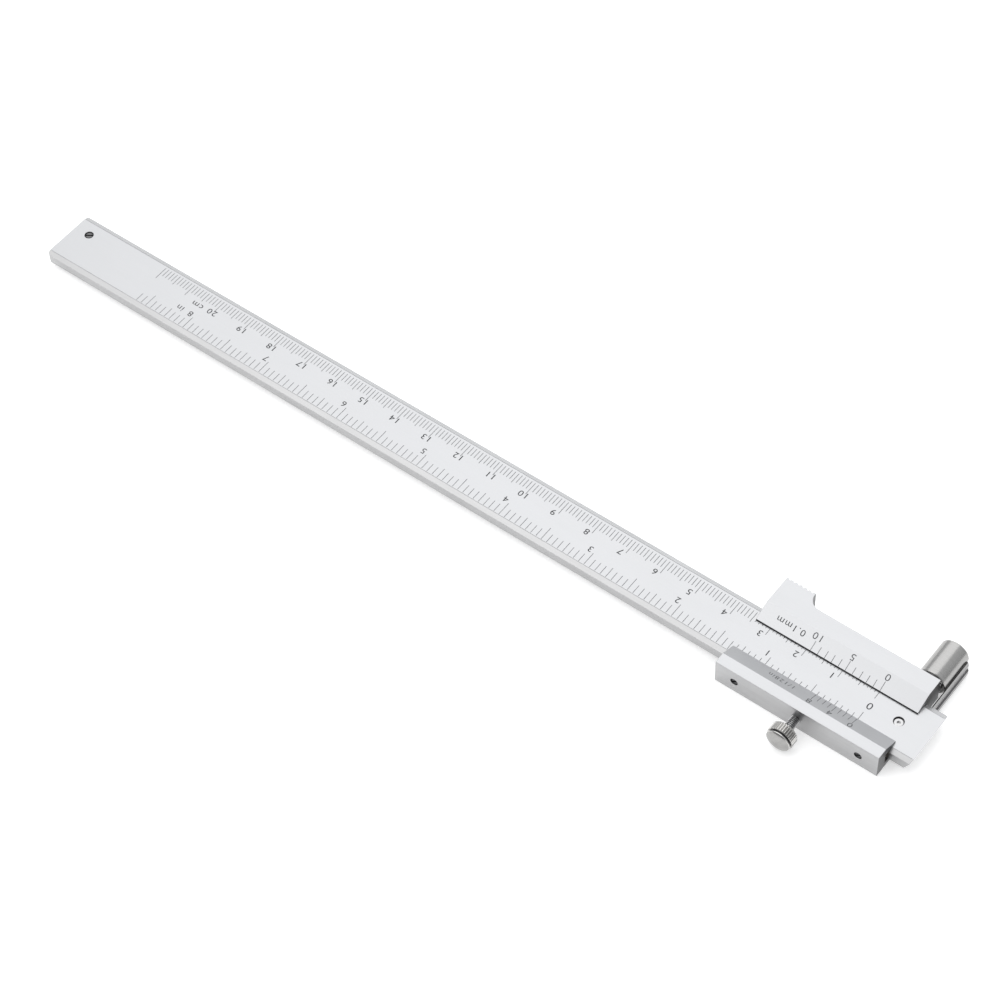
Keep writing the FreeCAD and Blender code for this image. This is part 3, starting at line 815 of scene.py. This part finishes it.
def helix(axisX, shape, start, end):
    bm = bmesh.new()
    pitch = shape["pitch"]
    first = start - 2 * pitch
    root, crest = shape["root"], shape["crest"]
    rise, fall = shape["rise"], shape["fall"]
    flanks = [(root, 0.0), (root, rise[0]), (crest, rise[1])]
    flanks += [(crest, fall[0]), (root, fall[1]), (root, pitch)]
    corners = [bm.verts.new((axisX + radius, first + y, middleZ)) for radius, y in flanks]
    edges = [bm.edges.new(pair) for pair in zip(corners, corners[1:])]
    turns = math.ceil((end - first) / pitch) + 1
    bmesh.ops.spin(
        bm, geom=corners + edges, cent=(axisX, 0, middleZ), axis=(0, 1, 0), angle=math.tau * turns,
        dvec=(0, pitch / shape["steps"], 0), steps=shape["steps"] * turns, use_merge=False)
    bmesh.ops.remove_doubles(bm, verts=bm.verts, dist=1e-3)
    for place, way in ((end, 1), (start, -1)):
        parts = bm.verts[:] + bm.edges[:] + bm.faces[:]
        bmesh.ops.bisect_plane(
            bm, geom=parts, dist=1e-5, plane_co=(0, place, 0), plane_no=(0, way, 0), clear_outer=True)
    bmesh.ops.holes_fill(bm, edges=[edge for edge in bm.edges if edge.is_boundary], sides=0)
    bmesh.ops.recalc_face_normals(bm, faces=bm.faces)
    return bm


def makeClampScrew(shape):
    low, high = spanOf("clamp_screw")
    bm = helix(clampX, shape, low.y, high.y)
    blackBelow = shape["root"] + shape["rootMargin"]

    def pick(face):  # black roots between bright crests
        middle = face.calc_center_median()
        return 1 if math.hypot(middle.x - clampX, middle.z - middleZ) < blackBelow else 0

    skins = [brightSteel, blackOxideAndGrooveShade]
    finishPiece(bm, "clamp_thread", "clamp_screw", skins, ["clamp_screw"], pick, smooth=20)


makeKnob(knobShape)
makeClampScrew(threadShape)
print("clamping screw made")

# Guide roller on its shoulder axle.
rollerShape = {
    "chamfer": 0.3, "rounding": 0.35, "mouth": 2.9, "mouthEdge": 0.1, "bushRadius": 2.5, "seatDepth": 1.76,
    "steps": 128,
}
axleShape = {
    "head": 2.6, "headHeight": 1.2, "slotWidth": 0.8, "slotDepth": 0.5, "slotTurn": 25, "edge": 0.12,
    "footEdge": 0.1, "seatEdge": 0.02,
}
washerShape = {"bore": 1.52, "edge": 0.06}


def makeRoller(shape):
    radius = (rollerB.x - rollerA.x) / 2
    near, far = rollerB.y, rollerA.y
    cut = shape["chamfer"]
    small = cut * shape["rounding"]
    mouth, edge = shape["mouth"], shape["mouthEdge"]
    seat = far + shape["seatDepth"]
    outline = [
        (shape["bushRadius"], near), (radius - cut, near), (radius - small, near - small),
        (radius, near - cut), (radius, far + cut), (radius - small, far + small), (radius - cut, far),
        (mouth + edge, far), (mouth, far + edge), (mouth, seat), (shape["bushRadius"], seat),
    ]
    bm = turned(outline, rollerX, middleZ, shape["steps"])
    finishPiece(bm, "guide_roller", "roller", [groundRound], ["roller_sleeve"], smooth=18)


def makeAxle(shape):
    low, high = spanOf("roller_axle")
    radius = sliderShape["axleHole"]
    seat = low.y + shape["headHeight"]
    head, edge, foot, seatEdge = shape["head"], shape["edge"], shape["footEdge"], shape["seatEdge"]
    outline = [(0, high.y), (radius - foot, high.y), (radius, high.y - foot), (radius, seat),
               (head - seatEdge, seat), (head, seat - seatEdge), (head, low.y + edge),
               (head - edge, low.y), (0, low.y)]
    half, reach = shape["slotWidth"] / 2, head + overcut
    slot = slab((-reach, low.y - overcut, -half), (reach, low.y + shape["slotDepth"], half))
    bm = turned(outline, rollerX, middleZ, 64)
    bm = sunk(bm, slot, (rollerX, 0, middleZ), shape["slotTurn"], "Y")
    finishPiece(bm, "shoulder_axle", "slider", [brightSteel], ["roller_axle"])


def makeWasher(shape):
    low, high = spanOf("roller_washer")
    radius = (high.x - low.x) / 2
    bore, edge = shape["bore"], shape["edge"]
    outline = [(bore, high.y), (radius - edge, high.y), (radius, high.y - edge), (radius, low.y + edge),
               (radius - edge, low.y), (bore, low.y)]
    bm = turned(outline, rollerX, middleZ, 72)
    finishPiece(bm, "thrust_washer", "slider", [brightSteel], ["roller_washer"])


makeRoller(rollerShape)
makeAxle(axleShape)
makeWasher(washerShape)
print("roller made")

# Scriber blade and the plate that holds it under the beam.
bladeShape = {
    "bevel": 0.3, "tipTaper": 1.1, "edge": 0.03, "reliefDepth": 0.3, "reliefHeight": 1.5, "foot": 0.25,
    "plainRoot": 0.05, "tiltFrom": 0.3,
}
holderShape = {"bore": 0.8, "edge": 0.08}


def makeBlade(shape):
    relief = shape["reliefDepth"]
    ledge = bladeB.z - shape["reliefHeight"]
    section = [
        (bladeB.x, bladeA.z), (bladeB.x, bladeB.z - shape["bevel"]), (bladeB.x - shape["bevel"], bladeB.z),
        (bladeA.x + relief, bladeB.z), (bladeA.x + relief, ledge), (bladeA.x, ledge - relief),
        (bladeA.x, bladeA.z + shape["foot"]), (bladeA.x + shape["foot"], bladeA.z),
    ]
    bm = plate([(x, bladeA.y, z) for x, z in section], (0, bladeB.y - bladeA.y, 0))
    trim(bm, (bladeB.x, bladeA.y, 0), (-shape["tipTaper"], -(bladeB.x - bladeA.x), 0))
    root = bladeA.y + shape["plainRoot"]
    breakEdges(bm, shape["edge"], lambda edge: max(vert.co.y for vert in edge.verts) > root)
    # The sloping step of the blade that faces the roller gets painted shade.
    tilt = shape["tiltFrom"]
    finishPiece(
        bm, "scriber", "beam", [carbide, darkSteelAndPaintedShade], ["scriber_blade"],
        lambda face: 1 if face.normal.x < -tilt and face.normal.z > tilt else 0)


def makeHolder(shape):
    bm = slab(holderA, holderB)
    x = beamShape["screwX"]
    bore = rod((x, 0, holderA.z - overcut), (x, 0, holderB.z + overcut), shape["bore"])
    bm = combine(bm, [bore], "DIFFERENCE")
    breakEdges(bm, shape["edge"])
    finishPiece(bm, "holder_plate", "beam", [groundPaintedShade], ["blade_holder"])


# Small screws: a turned body, a sunk slot or socket, and broken edges.
holderScrewShape = {
    "shank": 0.8, "headHeight": 0.9, "edge": 0.1, "rounding": 0.3, "socketFlats": 0.9, "socketDepth": 0.5,
    "socketTurn": 30,
}
stopScrewShape = {"radius": 1.0, "edge": 0.12, "footEdge": 0.2}
gibScrewShape = {"radius": 1.0, "edge": 0.15, "point": 0.5, "pointLength": 0.35, "pointEdge": 0.08}
slotShape = {"width": 0.4, "depth": 0.45, "halfLength": 4.0, "stopTurn": 35, "gibTurn": 40}


def lathedUp(x, y, outline, steps=56):  # a (radius, z) outline turned about an upright line
    bm = turned(outline, 0, 0, steps)
    standUp = Matrix.Translation((x, y, 0)) @ Matrix.Rotation(math.radians(90), 4, "X")
    bmesh.ops.transform(bm, matrix=standUp, verts=bm.verts)
    return bm


def makeHolderScrew(shape):
    low, high = spanOf("holder_screw")
    middle = (low + high) / 2
    radius, edge = (high.x - low.x) / 2, shape["edge"]
    small = edge * shape["rounding"]
    seat = high.z - shape["headHeight"]
    outline = [(0, low.z), (shape["shank"], low.z), (shape["shank"], seat), (radius, seat),
               (radius, high.z - edge), (radius - small, high.z - small), (radius - edge, high.z),
               (0, high.z)]
    bm = lathedUp(middle.x, middle.y, outline)
    socket = rod((0, 0, -shape["socketDepth"]), (0, 0, overcut), shape["socketFlats"] / math.sqrt(3), 6)
    bm = sunk(bm, socket, (middle.x, middle.y, high.z), shape["socketTurn"], "Z")
    finishPiece(bm, "holder_fixing", "beam", [brightSteel], ["holder_screw"])


def makeStopScrew(shape, slot):
    low, high = spanOf("stop_screw")
    middle = (low + high) / 2
    radius, edge = shape["radius"], shape["edge"]
    outline = [(0, low.z), (radius - shape["footEdge"], low.z), (radius, low.z + shape["footEdge"]),
               (radius, high.z - edge), (radius - edge, high.z), (0, high.z)]
    bm = lathedUp(middle.x, middle.y, outline)
    half, reach = slot["width"] / 2, slot["halfLength"]
    tool = slab((-reach, -half, -slot["depth"]), (reach, half, overcut))
    bm = sunk(bm, tool, (middle.x, middle.y, high.z), slot["stopTurn"], "Z")
    top = high.z - slack
    finishPiece(
        bm, "stop_fixing", "beam", [blackOxideAndGrooveShade, darkSteelAndPaintedShade], ["stop_screw"],
        lambda face: 1 if face.calc_center_median().z > top else 0)


def makeGibScrew(side, shape, slot):
    node = "gib_screw_" + side
    low, high = spanOf(node)
    middle = (low + high) / 2
    radius, edge = shape["radius"], shape["edge"]
    point, pointEdge = shape["point"], shape["pointEdge"]
    shoulder = low.y + shape["pointLength"]
    outline = [(0, low.y), (point - pointEdge, low.y), (point, low.y + pointEdge), (point, shoulder),
               (radius - edge, shoulder), (radius, shoulder + edge), (radius, high.y - edge),
               (radius - edge, high.y), (0, high.y)]
    bm = turned(outline, middle.x, middleZ, 48)
    half, reach = slot["width"] / 2, slot["halfLength"]
    tool = slab((-reach, -slot["depth"], -half), (reach, overcut, half))
    bm = sunk(bm, tool, (middle.x, high.y, middle.z), slot["gibTurn"], "Y")
    finishPiece(bm, "grub_" + side, node, [blackOxideAndGrooveShade], [node])


makeBlade(bladeShape)
makeHolder(holderShape)
makeHolderScrew(holderScrewShape)
makeStopScrew(stopScrewShape, slotShape)
for side in ("zero_side", "far_side"):
    makeGibScrew(side, gibScrewShape, slotShape)

# The bronze pieces keep their CAD shape; their dark bronze is partly the metal's own colour and partly
# painted shade.
for node in ("gib_strip", "clamp_pad", "roller_bush_inner", "roller_bush_outer"):
    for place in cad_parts[node].material_slots:
        place.material = bronzeWithPaintedShade
print("blade, holder and screws made")
